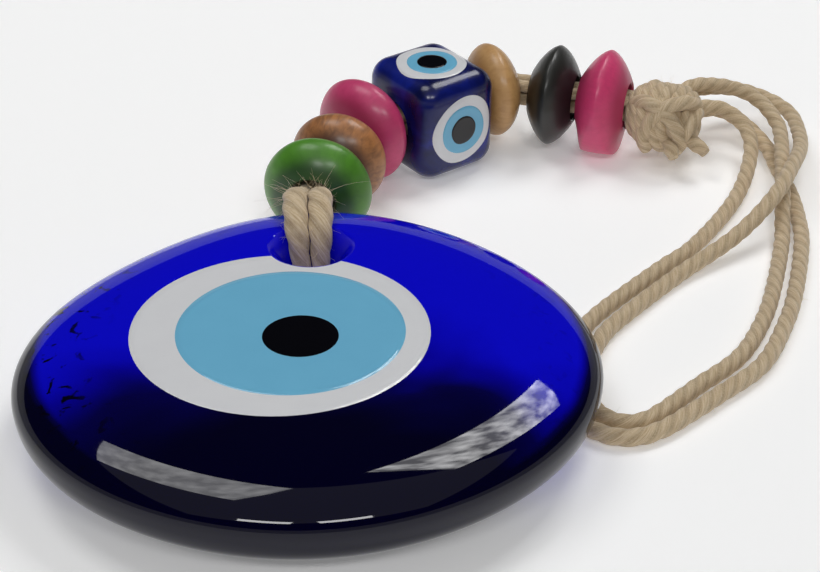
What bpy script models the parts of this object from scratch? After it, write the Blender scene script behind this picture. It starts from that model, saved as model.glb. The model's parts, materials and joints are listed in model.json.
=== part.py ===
"""Evil eye ornament: a pierced cobalt glass disc strung on a doubled hemp cord with seven beads.

Metres, +Z up. The origin is the centre of the disc's flat back. The disc lies on its own
hanging loops, so the surface under the ornament is lower, at SURFACE_Z. The beads and the
glass bar between the hole and the rim have their axes at the height of the disc's middle.
Pieces that touch keep GAP between their meshes.
"""

import math

import bmesh
import bpy
from mathutils import Matrix, Vector

MM = 0.001
GAP = 0.3 * MM

# Glass disc. Its outline is a circle plus a few waves: (waves round, cosine, sine).
DISC_RADIUS = 35.0 * MM
DISC_THICKNESS = 10.0 * MM
DISC_WAVES = ((2, 1.2 * MM, 0.6 * MM), (3, -0.15 * MM, -0.7 * MM), (4, 0.5 * MM, 0.0))
DISC_STEPS = 72
RIM_STEPS = 8

# Hole near the far rim, and the glass bar that the cord goes round.
HOLE_X = 0.3 * MM
BAR_WIDTH = 10.2 * MM
RELIEF_SLOPE = 0.05  # the back's rise per length past the hole's middle, to leave the string room
HOLE_ROOM = 3.8 * MM
HOLE_SIDE_ROOM = 1.3 * MM
HOLE_ROUNDING = 3.2 * MM
HOLE_STEPS = 36

# Eye let into the top of the disc, from the outside in: (name, x, y, radius, colour).
EYE = (
    ("eye_white", -3.8 * MM, 0.8 * MM, 18.4 * MM, (0.72, 0.74, 0.75)),
    ("eye_light_blue", -2.5 * MM, 0.8 * MM, 14.2 * MM, (0.12, 0.42, 0.66)),
    ("eye_pupil", -1.3 * MM, -0.5 * MM, 4.7 * MM, (0.004, 0.004, 0.006)),
)
EYE_STRETCH = 1.025
EYE_THICKNESS = 1.0 * MM
EYE_STEPS = 60

# Cord. Two strands go round the glass bar, so four pass through the beads, squeezed.
STRAND = 2.3 * MM
SQUEEZED_STRAND = 2.0 * MM
LOOP_CORD = 2.4 * MM
LOOP_POINTS = 62
TURN_STEPS = 14
TURN_START = math.radians(58)
STRAND_STOPS = (-0.36, -0.15, 0.15, 0.36)

# The string's axis from the middle of the glass bar, seen from above, in mm.
STRING_ROUTE = (
    (0.0, 0.0),
    (0.2, 7.0),
    (1.2, 14.9),
    (4.8, 24.4),
    (6.1, 28.2),
    (8.3, 32.8),
    (13.1, 35.9),
    (18.9, 38.7),
    (24.6, 43.0),
    (28.0, 45.0),
    (31.4, 45.9),
    (34.6, 45.2),
    (37.9, 43.8),
    (41.8, 42.3),
    (45.7, 40.9),
    (49.6, 39.4),
    (54.3, 38.0),
    (64.0, 36.0),
)
FIRST_BEAD_FROM_BAR = 10.6 * MM

# Beads in order from the disc: (name, diameter, width at the bore, colour, roughness).
BEADS = (
    ("bead_green", 16.0 * MM, 8.8 * MM, (0.07, 0.22, 0.01), 0.35),
    ("bead_brown", 14.6 * MM, 8.4 * MM, (0.36, 0.13, 0.03), 0.4),
    ("bead_pink_inner", 16.2 * MM, 8.2 * MM, (0.55, 0.02, 0.11), 0.35),
    ("bead_cube", 16.2 * MM, 14.4 * MM, (0.004, 0.012, 0.16), 0.15),
    ("bead_tan", 14.8 * MM, 7.0 * MM, (0.5, 0.24, 0.07), 0.4),
    ("bead_black", 15.9 * MM, 7.4 * MM, (0.01, 0.01, 0.011), 0.3),
    ("bead_pink_outer", 16.4 * MM, 8.0 * MM, (0.6, 0.03, 0.16), 0.35),
)
BORE_ROOM = 1.0 * MM
BEAD_FULLNESS = 1.6
BEAD_PROFILE_STEPS = 5
BEAD_STEPS = 24

# The outer pink bead has a broad, flattened rim on one side.
BROAD_BEAD = "bead_pink_outer"
BROAD_RIM = 2.4 * MM

# Eyes on the four sides of the cube bead, from the outside in: (name, radius, colour).
CUBE_ROUNDING = 3.3 * MM
CUBE_EYE = (
    ("white", 5.6 * MM, EYE[0][4]),
    ("light_blue", 4.1 * MM, EYE[1][4]),
    ("pupil", 2.5 * MM, EYE[2][4]),
)
CUBE_EYE_THICKNESS = 0.8 * MM
CUBE_EYE_STEPS = 20
CUBE_SIDES = ("top", "front", "bottom", "back")

# Knot and the two cut ends that stick out of it: (name, turn in degrees, drop, length).
KNOT_SIZE = (10.8 * MM, 10.8 * MM, 10.8 * MM)
KNOT_DROP = 1.0 * MM
KNOT_GROOVE = 0.45 * MM
TAILS = (
    ("cord_tail_long", -42.0, 2.4 * MM, 3.4 * MM),
    ("cord_tail_short", -76.0, 3.0 * MM, 2.4 * MM),
)

# Hanging loops, from the knot round under the disc and back to the knot, in mm: x and y
# from the disc's centre, and the height of the cord's centre above the surface.
OUTER_LOOP = (
    (62.4, 70.8, 7.0),
    (65.8, 70.9, 6.7),
    (68.2, 69.6, 5.7),
    (69.7, 66.8, 4.4),
    (69.4, 62.5, 3.0),
    (66.6, 54.8, 1.8),
    (62.4, 47.2, 1.3),
    (55.7, 37.8, 1.2),
    (50.2, 32.4, 1.2),
    (41.0, 22.7, 1.2),
    (37.2, 17.7, 1.2),
    (34.8, 12.6, 1.2),
    (33.5, 7.2, 1.2),
    (32.9, 1.9, 1.2),
    (33.3, -1.8, 1.2),
    (35.1, -4.9, 1.2),
    (38.0, -6.7, 1.2),
    (41.3, -6.7, 1.2),
    (44.7, -5.0, 1.2),
    (47.9, -2.5, 1.2),
    (52.5, 1.4, 1.2),
    (59.8, 8.1, 1.2),
    (65.0, 17.5, 1.2),
    (68.5, 26.3, 1.2),
    (72.1, 38.4, 1.2),
    (73.2, 45.3, 1.2),
    (73.7, 51.6, 1.2),
    (73.6, 56.8, 1.2),
    (73.4, 61.6, 1.2),
    (73.1, 67.1, 1.5),
    (71.4, 71.4, 2.4),
    (69.1, 74.0, 3.4),
    (65.9, 74.9, 4.4),
    (61.4, 73.0, 4.8),
)
INNER_LOOP = (
    (60.6, 74.8, 7.6),
    (66.2, 78.3, 6.6),
    (71.1, 80.0, 5.2),
    (74.0, 79.6, 4.4),
    (76.6, 77.6, 3.9),
    (78.2, 74.2, 3.7),
    (78.3, 69.5, 3.7),
    (76.9, 61.6, 4.6),
    (73.2, 52.0, 6.6),
    (68.6, 43.8, 6.0),
    (62.0, 37.9, 3.0),
    (52.2, 30.3, 1.2),
    (42.9, 20.2, 1.2),
    (39.8, 16.2, 1.2),
    (37.6, 11.8, 1.2),
    (36.3, 7.0, 1.2),
    (35.8, 2.6, 1.2),
    (36.0, -0.3, 1.2),
    (37.4, -2.7, 1.2),
    (39.7, -3.9, 1.2),
    (42.3, -3.4, 1.2),
    (44.6, -1.7, 1.2),
    (46.8, 0.3, 1.2),
    (50.6, 3.9, 1.2),
    (57.2, 10.1, 1.2),
    (62.2, 18.7, 1.2),
    (65.6, 27.3, 1.2),
    (69.2, 38.6, 1.2),
    (70.3, 43.6, 2.0),
    (71.3, 48.6, 3.6),
    (72.8, 55.8, 4.1),
    (74.9, 66.7, 4.2),
    (74.7, 70.6, 4.8),
    (73.4, 73.8, 5.8),
    (71.2, 75.6, 6.8),
    (68.3, 76.0, 7.8),
    (65.0, 74.8, 8.9),
    (61.8, 73.2, 9.6),
)


def disc_outline(angle):
    waves = (c * math.cos(n * angle) + s * math.sin(n * angle) for n, c, s in DISC_WAVES)
    return DISC_RADIUS + sum(waves)


# The bar's section: the rim's half circle on the far side, the hole's flare on the near side.
MID = DISC_THICKNESS / 2
BAR_Y = disc_outline(math.pi / 2) - BAR_WIDTH / 2
HOLE_FAR = BAR_Y - BAR_WIDTH / 2


def hole_flare(height):
    """How far the hole's wall leans back from its waist at this height from the middle."""
    share = min(abs(height) / (MID + GAP), 1.0)
    return HOLE_ROUNDING * (1 - math.sqrt(1 - share * share))


def bar_reach():
    """The furthest that the bar's section reaches from its centre."""
    heights = [MID * k / 20 for k in range(21)]
    near = max(math.hypot(BAR_WIDTH / 2 - hole_flare(z), z) for z in heights)
    rim = abs(BAR_WIDTH / 2 - MID) + MID
    return max(near, rim)


TURN_INNER = bar_reach() + GAP
TURN_RADIUS = TURN_INNER + STRAND / 2
HOLE_NEAR = BAR_Y - TURN_INNER - STRAND - HOLE_ROOM
HOLE_Y = (HOLE_FAR + HOLE_NEAR) / 2
HOLE_HALF = (HOLE_FAR - HOLE_NEAR) / 2
HOLE_HALF_X = STRAND + GAP / 2 + HOLE_SIDE_ROOM
STRAND_PITCH = STRAND + GAP
SQUEEZED_PITCH = SQUEEZED_STRAND + GAP
BORE_RADIUS = SQUEEZED_PITCH / math.sqrt(2) + SQUEEZED_STRAND / 2 + BORE_ROOM
LOWEST = max(TURN_INNER + STRAND, max(bead[1] for bead in BEADS) / 2)
SURFACE_Z = MID - LOWEST


def clear_scene():
    for obj in list(bpy.data.objects):
        bpy.data.objects.remove(obj, do_unlink=True)


def material(name, colour, roughness):
    made = bpy.data.materials.new(name)
    made.use_nodes = True
    shader = made.node_tree.nodes["Principled BSDF"]
    shader.inputs["Base Color"].default_value = (*colour, 1.0)
    shader.inputs["Roughness"].default_value = roughness
    made.diffuse_color = (*colour, 1.0)
    return made


def add_object(name, mesh, look, place=None, smooth=True):
    obj = bpy.data.objects.new(name, mesh)
    bpy.context.scene.collection.objects.link(obj)
    obj.data.materials.append(look)
    if place is not None:
        obj.matrix_world = place
    if smooth:
        mesh.shade_smooth()
        mesh.set_sharp_from_angle(angle=math.radians(40))
    return obj


def mesh_from_rings(name, rings, closed_round=False):
    """Joins rings of points, each with as many points, and caps the first and last ring."""
    shape = bmesh.new()
    rows = [[shape.verts.new(point) for point in ring] for ring in rings]
    pairs = list(zip(rows, rows[1:]))
    if closed_round:
        pairs.append((rows[-1], rows[0]))
    for low, high in pairs:
        count = len(low)
        for k in range(count):
            after = (k + 1) % count
            shape.faces.new((low[k], low[after], high[after], high[k]))
    if not closed_round:
        shape.faces.new(reversed(rows[0]))
        shape.faces.new(rows[-1])
    bmesh.ops.recalc_face_normals(shape, faces=shape.faces)
    mesh = bpy.data.meshes.new(name)
    shape.to_mesh(mesh)
    shape.free()
    return mesh


def oval(x, y, radius_x, radius_y, z, steps):
    turns = (2 * math.pi * k / steps for k in range(steps))
    return [(x + radius_x * math.cos(a), y + radius_y * math.sin(a), z) for a in turns]


def add_cutter(name, mesh, place=None):
    cutter = bpy.data.objects.new(name, mesh)
    bpy.context.scene.collection.objects.link(cutter)
    cutter.hide_render = True
    cutter.display_type = "WIRE"
    if place is not None:
        cutter.matrix_world = place
    return cutter


def cut(obj, cutter):
    modifier = obj.modifiers.new(cutter.name, "BOOLEAN")
    modifier.operation = "DIFFERENCE"
    modifier.object = cutter


def smooth_curve(points, count):
    """Evenly spaced points along a Catmull-Rom curve through the given ones."""
    points = [Vector(p) for p in points]
    ends = [2 * points[0] - points[1], *points, 2 * points[-1] - points[-2]]
    fine = []
    for a, b, c, d in zip(ends, ends[1:], ends[2:], ends[3:]):
        for k in range(20):
            t = k / 20
            bend = (b * 2 + (c - a) * t + (a * 2 - b * 5 + c * 4 - d) * t**2)
            fine.append((bend + (b * 3 - a - c * 3 + d) * t**3) / 2)
    fine.append(points[-1])
    along = [0.0]
    for a, b in zip(fine, fine[1:]):
        along.append(along[-1] + (b - a).length)
    even = []
    k = 0
    for step in range(count):
        want = along[-1] * step / (count - 1)
        while k < len(along) - 2 and along[k + 1] < want:
            k += 1
        share = (want - along[k]) / (along[k + 1] - along[k])
        even.append(fine[k].lerp(fine[k + 1], share))
    return even


def add_cord(name, points, thickness, look, widths=None):
    """A tube along the points. A width is the tube's thickness there, as a share of the full one."""
    curve = bpy.data.curves.new(name, "CURVE")
    curve.dimensions = "3D"
    curve.bevel_depth = thickness / 2
    curve.bevel_resolution = 2
    curve.use_fill_caps = True
    spline = curve.splines.new("POLY")
    spline.points.add(len(points) - 1)
    for k, point in enumerate(points):
        spline.points[k].co = (*point, 1.0)
        spline.points[k].radius = widths[k] if widths else 1.0
    obj = bpy.data.objects.new(name, curve)
    bpy.context.scene.collection.objects.link(obj)
    obj.data.materials.append(look)
    return obj


def hole_cutter(extra):
    """The hole's shape, wider by extra: a waist in the middle that flares to both faces."""
    heights = [-1.0, -0.98, -0.9, -0.75, -0.5, -0.2, 0.2, 0.5, 0.75, 0.9, 0.98, 1.0]
    rings = []
    for share in heights:
        z = share * (MID + GAP)
        flare = hole_flare(z) + extra
        rings.append(
            oval(HOLE_X, HOLE_Y, HOLE_HALF_X + flare, HOLE_HALF + flare, MID + z, HOLE_STEPS)
        )
    return mesh_from_rings("hole", rings)


def add_disc():
    """The glass: a flat-backed slab with a fully rounded rim, pierced, with a pocket for the eye."""
    angles = [2 * math.pi * k / DISC_STEPS for k in range(DISC_STEPS)]
    rings = []
    for step in range(RIM_STEPS + 1):
        lean = math.pi * (step / RIM_STEPS - 0.5)
        inward = MID * (1 - math.cos(lean))
        z = MID + MID * math.sin(lean)
        radii = [disc_outline(a) - inward for a in angles]
        rings.append([(r * math.cos(a), r * math.sin(a), z) for r, a in zip(radii, angles)])
    glass = material("cobalt_glass", (0.004, 0.01, 0.32), 0.05)
    disc = add_object("glass_disc", mesh_from_rings("glass_disc", rings), glass)
    _, x, y, radius, _ = EYE[0]
    floor = DISC_THICKNESS - EYE_THICKNESS - GAP
    wide, deep = radius * EYE_STRETCH + GAP, radius / EYE_STRETCH + GAP
    lid = DISC_THICKNESS + EYE_THICKNESS
    pocket = [oval(x, y, wide, deep, z, EYE_STEPS) for z in (floor, lid)]
    cut(disc, add_cutter("eye_pocket", mesh_from_rings("eye_pocket", pocket)))
    cut(disc, add_cutter("cord_hole", hole_cutter(0.0)))
    far = 2 * DISC_RADIUS
    rise = RELIEF_SLOPE * (far - HOLE_Y)
    wedge = [(HOLE_Y, 0.0), (HOLE_Y, -MID), (far, -MID), (far, rise)]
    relief = [[(x, y, z) for y, z in wedge] for x in (-far, far)]
    cut(disc, add_cutter("bar_relief", mesh_from_rings("bar_relief", relief)))


def flat_ring(name, x, y, outer, inner, low, high, steps, stretch):
    """A flat inlay from z low to high: a ring if inner is more than nothing, or a whole disc."""
    wide, deep = outer[0] * stretch, outer[0] / stretch
    rings = [oval(x, y, wide, deep, z, steps) for z in (low, high)]
    if inner is None:
        return mesh_from_rings(name, rings)
    in_x, in_y, radius = inner
    wide, deep = radius * stretch, radius / stretch
    rings += [oval(in_x, in_y, wide, deep, z, steps) for z in (high, low)]
    return mesh_from_rings(name, rings, closed_round=True)


def add_eye():
    """White, light blue and black inlays, flush with the top of the glass."""
    low, high = DISC_THICKNESS - EYE_THICKNESS, DISC_THICKNESS
    for (name, x, y, radius, colour), inside in zip(EYE, [*EYE[1:], None]):
        inner = inside and (inside[1], inside[2], inside[3] + GAP)
        mesh = flat_ring(name, x, y, (radius,), inner, low, high, EYE_STEPS, EYE_STRETCH)
        obj = add_object(name, mesh, material(name, colour, 0.12))
        if name == "eye_white":
            cut(obj, add_cutter("eye_notch", hole_cutter(GAP)))


def string_axis():
    """Fine points along the string's axis, and how far along it each one is."""
    route = [(HOLE_X + x * MM, BAR_Y + y * MM, MID) for x, y in STRING_ROUTE]
    fine = smooth_curve(route, 600)
    step = (fine[1] - fine[0]).length
    return fine, step


def on_string(axis, along):
    """The point this far along the string's axis, and the direction of the axis there."""
    fine, step = axis
    k = min(max(round(along / step), 1), len(fine) - 2)
    return fine[k], (fine[k + 1] - fine[k - 1]).normalized()


def frame_at(point, way):
    """A piece's matrix: its local X along the string, its local Z up."""
    side = Vector((-way.y, way.x, 0.0)).normalized()
    turn = Matrix((way, side, Vector((0, 0, 1)))).transposed()
    return Matrix.Translation(point) @ turn.to_4x4()


def bead_fullness(diameter, width):
    """The half width that the bead would have on its axis, without its bore."""
    return width / 2 / (1 - (2 * BORE_RADIUS / diameter) ** BEAD_FULLNESS) ** (1 / BEAD_FULLNESS)


def half_width(bead, radius):
    """Half the bead's width at this distance from its axis."""
    name, diameter, width = bead[:3]
    rim = diameter / 2
    if name == "bead_cube":
        inward = min(max(radius - (rim - CUBE_ROUNDING), 0.0), CUBE_ROUNDING)
        return width / 2 - CUBE_ROUNDING + math.sqrt(CUBE_ROUNDING**2 - inward**2)
    share = max(1 - (radius / rim) ** BEAD_FULLNESS, 0.0)
    return bead_fullness(diameter, width) * share ** (1 / BEAD_FULLNESS)


def bead_profile(bead):
    """Half the bead's section, from the bore to the rim: (distance from the axis, half width)."""
    rim = bead[1] / 2
    points = []
    for k in range(BEAD_PROFILE_STEPS + 1):
        radius = BORE_RADIUS + (rim - BORE_RADIUS) * math.sin(math.pi / 2 * k / BEAD_PROFILE_STEPS)
        points.append((radius, half_width(bead, radius)))
    return points


def clear_of(bead, way, other, other_way, apart):
    """Whether two neighbours, this far apart and turned to each other, keep GAP at every radius."""
    lean = math.tan(way.angle(other_way) / 2)
    reach = min(bead[1], other[1]) / 2
    for k in range(21):
        radius = BORE_RADIUS + (reach - BORE_RADIUS) * k / 20
        if half_width(bead, radius) + half_width(other, radius) + 2 * radius * lean + GAP > apart:
            return False
    return True


def thread_beads(axis):
    """Each bead's centre and direction, threaded on the string as close together as they go."""
    along = FIRST_BEAD_FROM_BAR + BEADS[0][2] / 2
    placed = [on_string(axis, along)]
    for before, bead in zip(BEADS, BEADS[1:]):
        point, way = placed[-1]
        found = False
        while not found:
            along += 0.02 * MM
            next_point, next_way = on_string(axis, along)
            found = clear_of(before, way, bead, next_way, (next_point - point).length)
        placed.append((next_point, next_way))
    return placed, along + BEADS[-1][2] / 2


def add_round_bead(bead, place):
    """A saucer-shaped bead turned about its local X axis."""
    name, diameter, _, colour, roughness = bead
    half = bead_profile(bead)
    section = [(-wide, radius) for radius, wide in half]
    section += [(wide, radius) for radius, wide in reversed(half[:-1])]
    rings = []
    for k in range(BEAD_STEPS):
        turn = 2 * math.pi * k / BEAD_STEPS
        down = max(-math.cos(turn), 0.0)
        ring = []
        for along, radius in section:
            outward = (radius - BORE_RADIUS) / (diameter / 2 - BORE_RADIUS)
            spread = 0.0
            if name == BROAD_BEAD:
                spread = math.copysign(BROAD_RIM * down * outward**2 * (along != 0), along)
            ring.append((along + spread, radius * math.sin(turn), radius * math.cos(turn)))
        rings.append(ring)
    mesh = mesh_from_rings(name, rings, closed_round=True)
    add_object(name, mesh, material(name, colour, roughness), place)


def add_cube_bead(bead, place):
    """A glass cube with rounded edges, bored along its local X axis, with an eye on each side."""
    name, size, width, colour, roughness = bead
    shape = bmesh.new()
    bmesh.ops.create_cube(shape, size=1.0)
    bmesh.ops.scale(shape, vec=(width, size, size), verts=shape.verts)
    edges = list(shape.edges)
    bmesh.ops.bevel(shape, geom=edges, offset=CUBE_ROUNDING, segments=3, affect="EDGES", profile=0.5)
    mesh = bpy.data.meshes.new(name)
    shape.to_mesh(mesh)
    shape.free()
    cube = add_object(name, mesh, material(name, colour, roughness), place)
    ends = [
        [(x, BORE_RADIUS * math.cos(a), BORE_RADIUS * math.sin(a)) for a in circle(CUBE_EYE_STEPS)]
        for x in (-width, width)
    ]
    cut(cube, add_cutter("cube_bore", mesh_from_rings("cube_bore", ends), place))
    low, high = size / 2 - CUBE_EYE_THICKNESS, size / 2
    for side, label in enumerate(CUBE_SIDES):
        turned = place @ Matrix.Rotation(math.pi / 2 * side, 4, "X")
        reach = CUBE_EYE[0][1] + GAP
        hollow = [oval(0, 0, reach, reach, z, CUBE_EYE_STEPS) for z in (low - GAP, size)]
        pocket = mesh_from_rings("cube_pocket_" + label, hollow)
        cut(cube, add_cutter("cube_pocket_" + label, pocket, turned))
        for (layer, radius, tint), inside in zip(CUBE_EYE, [*CUBE_EYE[1:], None]):
            inner = inside and (0, 0, inside[1] + GAP)
            node = "cube_" + label + "_" + layer
            ring = flat_ring(node, 0, 0, (radius,), inner, low, high, CUBE_EYE_STEPS, 1.0)
            add_object(node, ring, material(node, tint, 0.15), turned)


def circle(steps):
    return [2 * math.pi * k / steps for k in range(steps)]


def add_beads(placed):
    for bead, (point, way) in zip(BEADS, placed):
        make = add_cube_bead if bead[0] == "bead_cube" else add_round_bead
        make(bead, frame_at(point, way))


def knot_reach(across, up):
    """How far along its own X axis the knot's surface is, off its axis by this much."""
    long, wide, high = KNOT_SIZE
    return long / 2 * math.sqrt(max(1 - (2 * across / wide) ** 2 - (2 * up / high) ** 2, 0.0))


def strand_route(placed, knot, side):
    """One strand: in through the beads, round the glass bar and back through the beads."""
    middle = Vector((HOLE_X + side * STRAND_PITCH / 2, BAR_Y, MID))
    turn = []
    for k in range(TURN_STEPS + 1):
        lean = TURN_START + (2 * math.pi - 2 * TURN_START) * k / TURN_STEPS
        turn.append(middle + TURN_RADIUS * Vector((0, math.cos(lean), math.sin(lean))))
    rise = Vector((0, 0, SQUEEZED_PITCH / 2))
    halves = []
    for up in (rise, -rise):
        half = []
        for bead, (point, way) in zip(BEADS, placed):
            across = Vector((way.y, -way.x, 0.0)) * (side * SQUEEZED_PITCH / 2)
            for share in STRAND_STOPS:
                half.append(point + across + way * (bead[2] * share) + up)
        centre, way = knot
        across = Vector((way.y, -way.x, 0.0)) * (side * SQUEEZED_PITCH / 2)
        offsets = (SQUEEZED_PITCH / 2, MID + up.z - centre.z)
        inner = [max(abs(offset) - SQUEEZED_STRAND / 2, 0.0) for offset in offsets]
        back = knot_reach(*inner) + GAP
        end = centre + across - way * back
        half[-1] = Vector((end.x, end.y, MID + up.z))
        halves.append(half)
    upper, lower = halves
    widths = [SQUEEZED_STRAND / STRAND] * len(upper)
    return upper[::-1] + turn + lower, widths + [1.0] * len(turn) + widths


def add_strands(placed, knot, look):
    for name, side in (("cord_strand_left", -1), ("cord_strand_right", 1)):
        points, widths = strand_route(placed, knot, side)
        add_cord(name, points, STRAND, look, widths)


def knot_place(axis, along):
    point, way = on_string(axis, along + GAP + KNOT_SIZE[0] / 2)
    return point - Vector((0, 0, KNOT_DROP)), way


def add_knot(knot, look):
    """The knot that locks the beads, a lump with the turns of the cord round it, and its cut ends."""
    long, wide, high = KNOT_SIZE
    place = frame_at(*knot)
    shape = bmesh.new()
    bmesh.ops.create_uvsphere(shape, u_segments=24, v_segments=14, radius=0.5)
    for vert in shape.verts:
        wind = math.atan2(vert.co.y, vert.co.z) + vert.co.x * 5.0
        calm = 1 - (2 * vert.co.x) ** 2
        dip = KNOT_GROOVE * calm * (1 + math.cos(3 * wind)) / 2
        size = Vector((long - dip, wide - dip * 2, high - dip * 2))
        vert.co = Vector((vert.co.x * size.x, vert.co.y * size.y, vert.co.z * size.z))
    mesh = bpy.data.meshes.new("cord_knot")
    shape.to_mesh(mesh)
    shape.free()
    add_object("cord_knot", mesh, look, place)
    for name, turn, drop, length in TAILS:
        out = Vector((math.cos(math.radians(turn)), math.sin(math.radians(turn)), 0.0))
        share = 1 - (2 * drop / high) ** 2
        rim = math.sqrt(share / ((2 * out.x / long) ** 2 + (2 * out.y / wide) ** 2)) + GAP
        ends = [place @ (out * reach - Vector((0, 0, drop))) for reach in (rim, rim + length)]
        add_cord(name, ends, STRAND, look)


def add_loops(look):
    for name, route in (("hanging_loop_outer", OUTER_LOOP), ("hanging_loop_inner", INNER_LOOP)):
        points = [(x * MM, y * MM, SURFACE_Z + height * MM) for x, y, height in route]
        add_cord(name, smooth_curve(points, LOOP_POINTS), LOOP_CORD, look)


def main():
    clear_scene()
    hemp = material("hemp", (0.53, 0.4, 0.26), 0.85)
    add_disc()
    add_eye()
    axis = string_axis()
    placed, end = thread_beads(axis)
    knot = knot_place(axis, end)
    add_beads(placed)
    add_strands(placed, knot, hemp)
    add_knot(knot, hemp)
    add_loops(hemp)
    bpy.context.view_layer.update()


main()
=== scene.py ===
import json
import math
import random

import bpy
from mathutils import Matrix, Vector, noise


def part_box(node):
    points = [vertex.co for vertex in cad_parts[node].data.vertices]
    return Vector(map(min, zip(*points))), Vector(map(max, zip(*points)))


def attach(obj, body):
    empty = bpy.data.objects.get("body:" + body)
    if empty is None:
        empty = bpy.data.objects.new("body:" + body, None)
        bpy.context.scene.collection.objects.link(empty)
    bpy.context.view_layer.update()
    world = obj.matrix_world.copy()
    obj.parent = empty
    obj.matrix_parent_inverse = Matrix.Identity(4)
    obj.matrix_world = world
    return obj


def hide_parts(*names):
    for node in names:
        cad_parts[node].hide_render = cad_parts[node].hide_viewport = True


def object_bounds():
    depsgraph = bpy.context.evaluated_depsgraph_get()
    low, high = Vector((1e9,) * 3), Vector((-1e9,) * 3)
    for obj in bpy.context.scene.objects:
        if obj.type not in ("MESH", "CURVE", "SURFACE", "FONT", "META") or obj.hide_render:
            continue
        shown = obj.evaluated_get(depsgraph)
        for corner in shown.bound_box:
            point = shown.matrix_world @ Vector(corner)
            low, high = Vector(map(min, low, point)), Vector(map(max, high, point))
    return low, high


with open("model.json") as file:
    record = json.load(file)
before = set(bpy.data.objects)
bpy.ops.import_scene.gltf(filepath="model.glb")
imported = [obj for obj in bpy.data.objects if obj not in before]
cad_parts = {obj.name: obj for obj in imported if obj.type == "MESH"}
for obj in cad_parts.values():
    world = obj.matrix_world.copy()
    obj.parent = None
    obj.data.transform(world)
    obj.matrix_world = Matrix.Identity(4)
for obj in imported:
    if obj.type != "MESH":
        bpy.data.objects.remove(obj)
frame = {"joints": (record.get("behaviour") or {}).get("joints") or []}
cadLow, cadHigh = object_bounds()
scene = bpy.context.scene
scene.view_settings.view_transform = "Standard"
mm = 0.001
rng = random.Random(7)
tableZ = cadLow.z
joints = {joint["name"]: joint for joint in frame["joints"]}
barCentre = Vector(joints["disc_swing"]["pos_m"])
discLow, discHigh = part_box("glass_disc")
discMid = (discLow.z + discHigh.z) / 2
half = (discHigh.z - discLow.z) / 2
knotLow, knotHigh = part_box("cord_knot")
knotCentre = (knotLow + knotHigh) / 2
print("frame loaded")

view = {
    "lens": 83.7, "near": 0.01, "distance": 0.24,
    "elevation": 35.2, "yaw": 3.58, "pitch": -32.8, "roll": 0.61,
}


def addCamera():
    cam = bpy.data.objects.new("camera", bpy.data.cameras.new("camera"))
    scene.collection.objects.link(cam)
    scene.camera = cam
    cam.data.lens = view["lens"]
    cam.data.clip_start = view["near"]
    up = math.radians(view["elevation"])
    place = Vector((0, -math.cos(up), math.sin(up))) * view["distance"] + Vector((0, 0, discMid))
    yaw, pitch, roll = (math.radians(view[k]) for k in ("yaw", "pitch", "roll"))
    ahead = Vector((math.sin(yaw) * math.cos(pitch), math.cos(yaw) * math.cos(pitch), math.sin(pitch)))
    right = Vector((math.cos(yaw), -math.sin(yaw), 0))
    above = right.cross(ahead)
    across = right * math.cos(roll) + above * math.sin(roll)
    above = above * math.cos(roll) - right * math.sin(roll)
    cam.matrix_world = Matrix.Translation(place) @ Matrix((across, above, -ahead)).transposed().to_4x4()
    print("camera set")


addCamera()


def toLinear(code):
    channels = (int(code[k : k + 2], 16) / 255 for k in (1, 3, 5))
    return [c / 12.92 if c <= 0.04045 else ((c + 0.055) / 1.055) ** 2.4 for c in channels] + [1.0]


def addNode(tree, kind, inputs=(), stops=(), **settings):
    # An input is a number, a hex colour or another node's socket; stops are a ramp's (place, colour).
    node = tree.nodes.new("ShaderNode" + kind)
    for name, value in settings.items():
        setattr(node, name, value)
    for k, (place, code) in enumerate(stops):
        stop = node.color_ramp.elements[k] if k < 2 else node.color_ramp.elements.new(place)
        stop.position, stop.color = place, toLinear(code)
    for key, value in dict(inputs).items():
        if isinstance(value, bpy.types.NodeSocket):
            tree.links.new(value, node.inputs[key])
        else:
            node.inputs[key].default_value = toLinear(value) if isinstance(value, str) else value
    return node


def newMaterial(name):
    made = bpy.data.materials.new(name)
    made.use_nodes = True
    made.node_tree.nodes.clear()
    return made, made.node_tree


def finishMaterial(tree, inputs):
    shader = addNode(tree, "BsdfPrincipled", inputs)
    addNode(tree, "OutputMaterial", {"Surface": shader.outputs[0]})


def deselect():
    if bpy.context.mode != "OBJECT":
        bpy.ops.object.mode_set(mode="OBJECT")
    bpy.ops.object.select_all(action="DESELECT")


def pick(obj):
    deselect()
    obj.select_set(True)
    bpy.context.view_layer.objects.active = obj


def meshFrom(name, points, faces):
    mesh = bpy.data.meshes.new(name)
    mesh.from_pydata(points, [], faces)
    mesh.update()
    obj = bpy.data.objects.new(name, mesh)
    scene.collection.objects.link(obj)
    return obj


def closeUp(obj):
    # Merges the doubled points at seams and poles, and turns every face outwards.
    pick(obj)
    bpy.ops.object.mode_set(mode="EDIT")
    bpy.ops.mesh.select_all(action="SELECT")
    bpy.ops.mesh.remove_doubles(threshold=0.002 * mm)
    bpy.ops.mesh.normals_make_consistent(inside=False)
    bpy.ops.object.mode_set(mode="OBJECT")


def finishPiece(obj, material, body, replaced=()):
    obj.data.materials.clear()
    obj.data.materials.append(material)
    pick(obj)
    bpy.ops.object.shade_smooth_by_angle(angle=math.radians(40))
    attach(obj, body)
    if replaced:
        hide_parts(*replaced)
    deselect()


def carve(obj, cutter):
    pick(obj)
    modifier = obj.modifiers.new("cut", "BOOLEAN")
    modifier.operation = "DIFFERENCE"
    modifier.solver = "EXACT"
    modifier.object = cutter
    bpy.ops.object.modifier_apply(modifier=modifier.name)


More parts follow.
